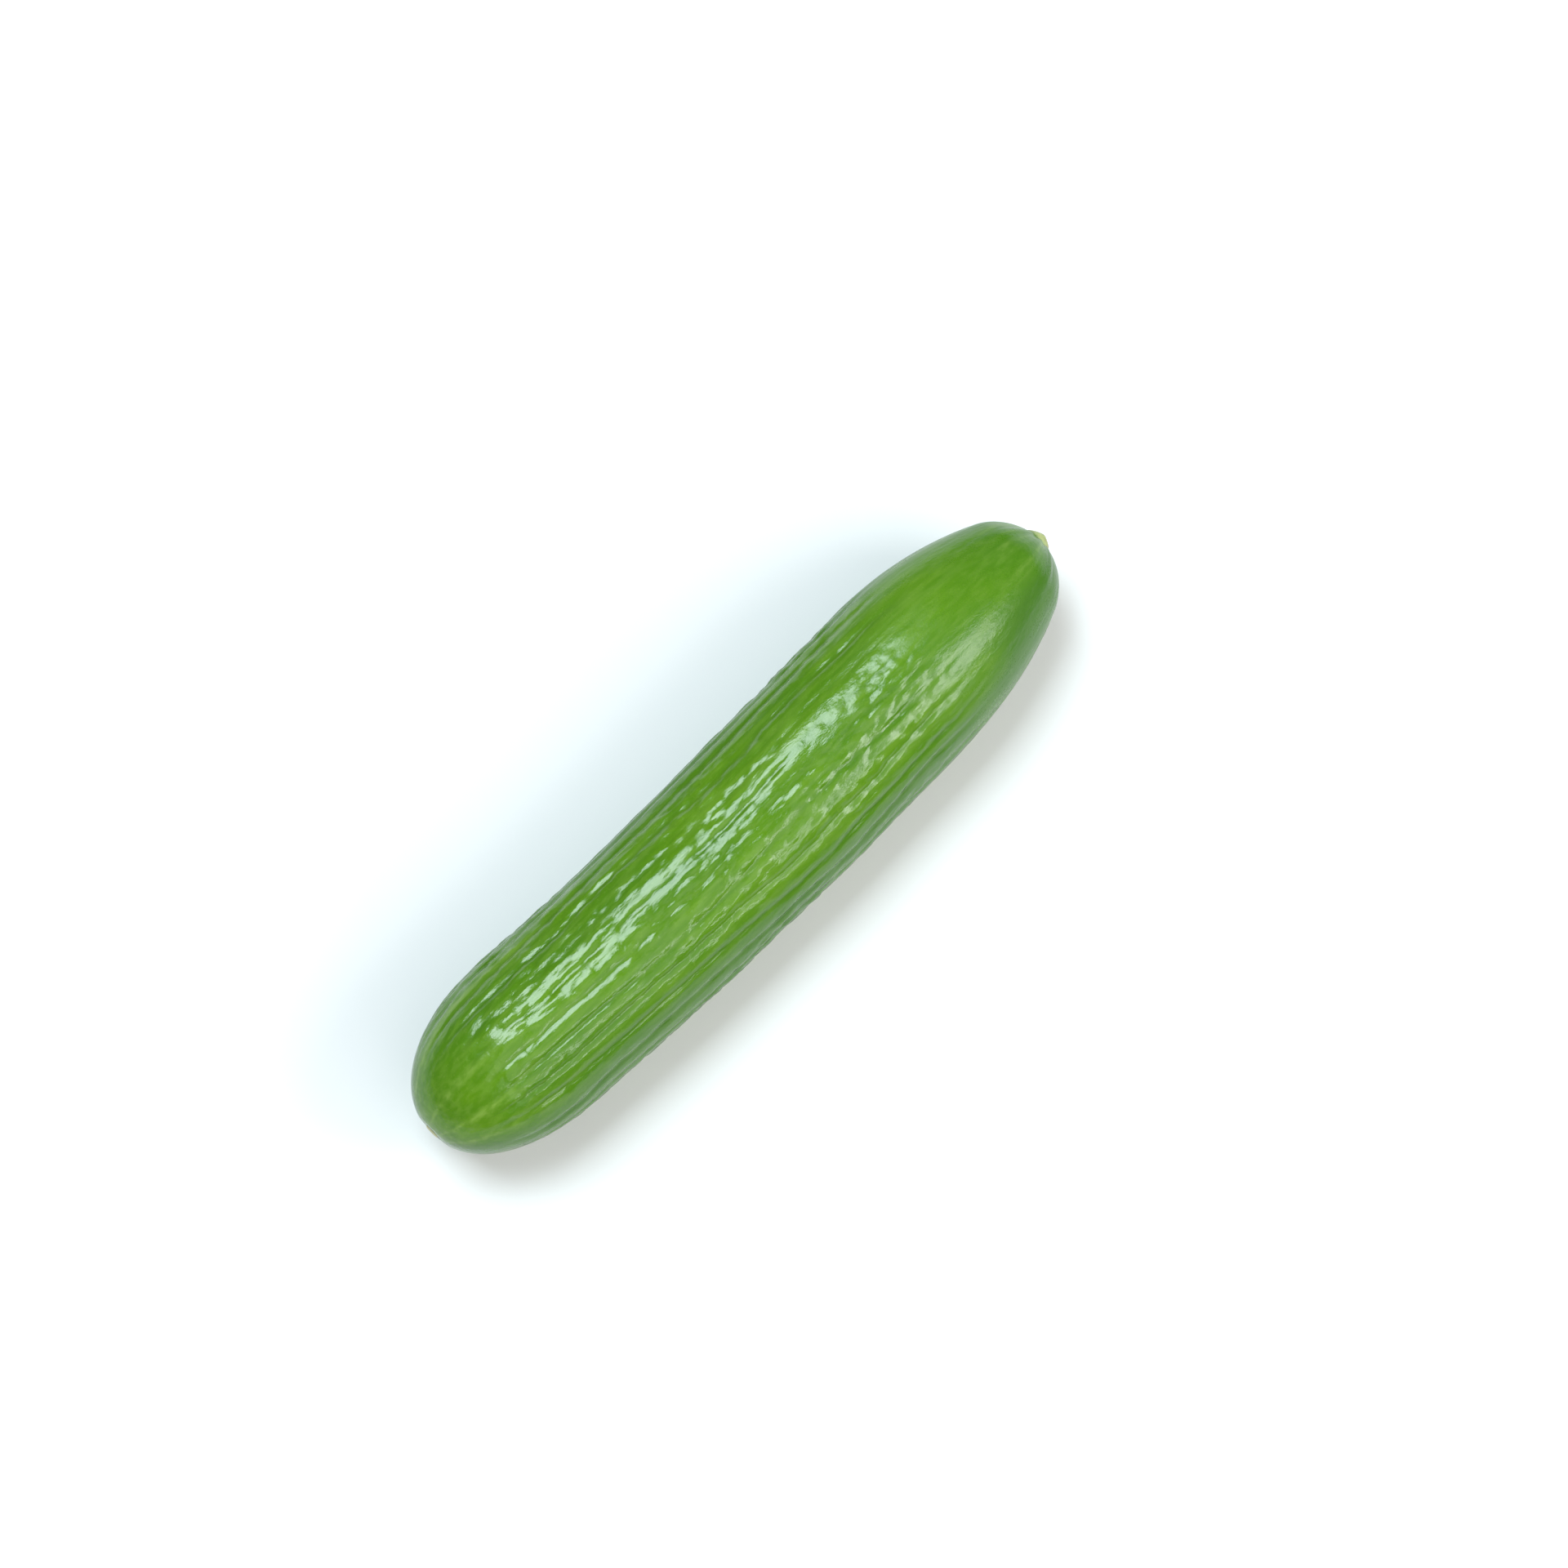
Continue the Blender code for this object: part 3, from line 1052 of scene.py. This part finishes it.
def add_camera(settings, centre):
    turn, height = settings.camera_turn, settings.camera_height
    back = Vector(
        (math.sin(turn) * math.cos(height), -math.cos(turn) * math.cos(height), math.sin(height))
    )
    right = Vector((math.cos(turn), math.sin(turn), 0.0))
    target = centre + right * AIM_RIGHT + back.cross(right) * AIM_UP
    lens = bpy.data.cameras.new("camera")
    lens.lens = CAMERA_LENS
    lens.sensor_width = SENSOR_WIDTH
    camera = bpy.data.objects.new("camera", lens)
    bpy.context.scene.collection.objects.link(camera)
    distance = settings.view_width * CAMERA_LENS / SENSOR_WIDTH
    aim(camera, target + back * distance, target)
    bpy.context.scene.camera = camera


# ---------------------------------------------------------------- operators and panel


class CUCUMBER_OT_add_fruit(bpy.types.Operator):
    """Model the wrinkled skin of the fruit in the place of its solid"""

    bl_idname = "cucumber.add_fruit"
    bl_label = "Add Fruit"

    def execute(self, context):
        settings = context.scene.cucumber_fruit
        fruit = model_fruit(settings)
        fruit.data.materials.append(skin_material(settings))
        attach(fruit, "root")
        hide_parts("fruit")
        return {"FINISHED"}


class CUCUMBER_OT_add_stem(bpy.types.Operator):
    """Model the cut stub of the stem in the place of its solid"""

    bl_idname = "cucumber.add_stem"
    bl_label = "Add Stem"

    def execute(self, context):
        settings = context.scene.cucumber_stem
        stem = model_stem(settings)
        stem.data.materials.append(stem_material(settings))
        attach(stem, "root")
        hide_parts("stem_stub")
        return {"FINISHED"}


class CUCUMBER_OT_add_stage(bpy.types.Operator):
    """Add the plain floor, the soft lights and the camera"""

    bl_idname = "cucumber.add_stage"
    bl_label = "Add Stage"

    def execute(self, context):
        settings = context.scene.cucumber_stage
        low, high = CAD_BOX
        centre = (low + high) / 2.0
        model_floor(settings)
        add_lights(settings, centre)
        add_surround(settings)
        add_camera(settings, centre)
        context.scene.view_settings.view_transform = "Standard"
        return {"FINISHED"}


class CUCUMBER_PT_panel(bpy.types.Panel):
    """Buttons that build the cucumber and its stage"""

    bl_idname = "CUCUMBER_PT_panel"
    bl_label = "Cucumber"
    bl_space_type = "VIEW_3D"
    bl_region_type = "UI"
    bl_category = "Cucumber"

    def draw(self, context):
        for group, operator in STEPS:
            box = self.layout.box()
            settings = getattr(context.scene, group)
            for name in settings.__annotations__:
                box.prop(settings, name)
            box.operator(operator)


STEPS = (
    ("cucumber_stage", "cucumber.add_stage"),
    ("cucumber_fruit", "cucumber.add_fruit"),
    ("cucumber_stem", "cucumber.add_stem"),
)
GROUPS = {
    "cucumber_fruit": FruitSettings,
    "cucumber_stem": StemSettings,
    "cucumber_stage": StageSettings,
}
CLASSES = (
    FruitSettings,
    StemSettings,
    StageSettings,
    CUCUMBER_OT_add_fruit,
    CUCUMBER_OT_add_stem,
    CUCUMBER_OT_add_stage,
    CUCUMBER_PT_panel,
)


def register():
    for item in CLASSES:
        bpy.utils.register_class(item)
    for name, group in GROUPS.items():
        setattr(bpy.types.Scene, name, bpy.props.PointerProperty(type=group))


def unregister():
    for name in GROUPS:
        delattr(bpy.types.Scene, name)
    for item in reversed(CLASSES):
        bpy.utils.unregister_class(item)


def main():
    register()
    bpy.ops.cucumber.add_stage()
    bpy.ops.cucumber.add_fruit()
    bpy.ops.cucumber.add_stem()


if __name__ == "__main__":
    main()
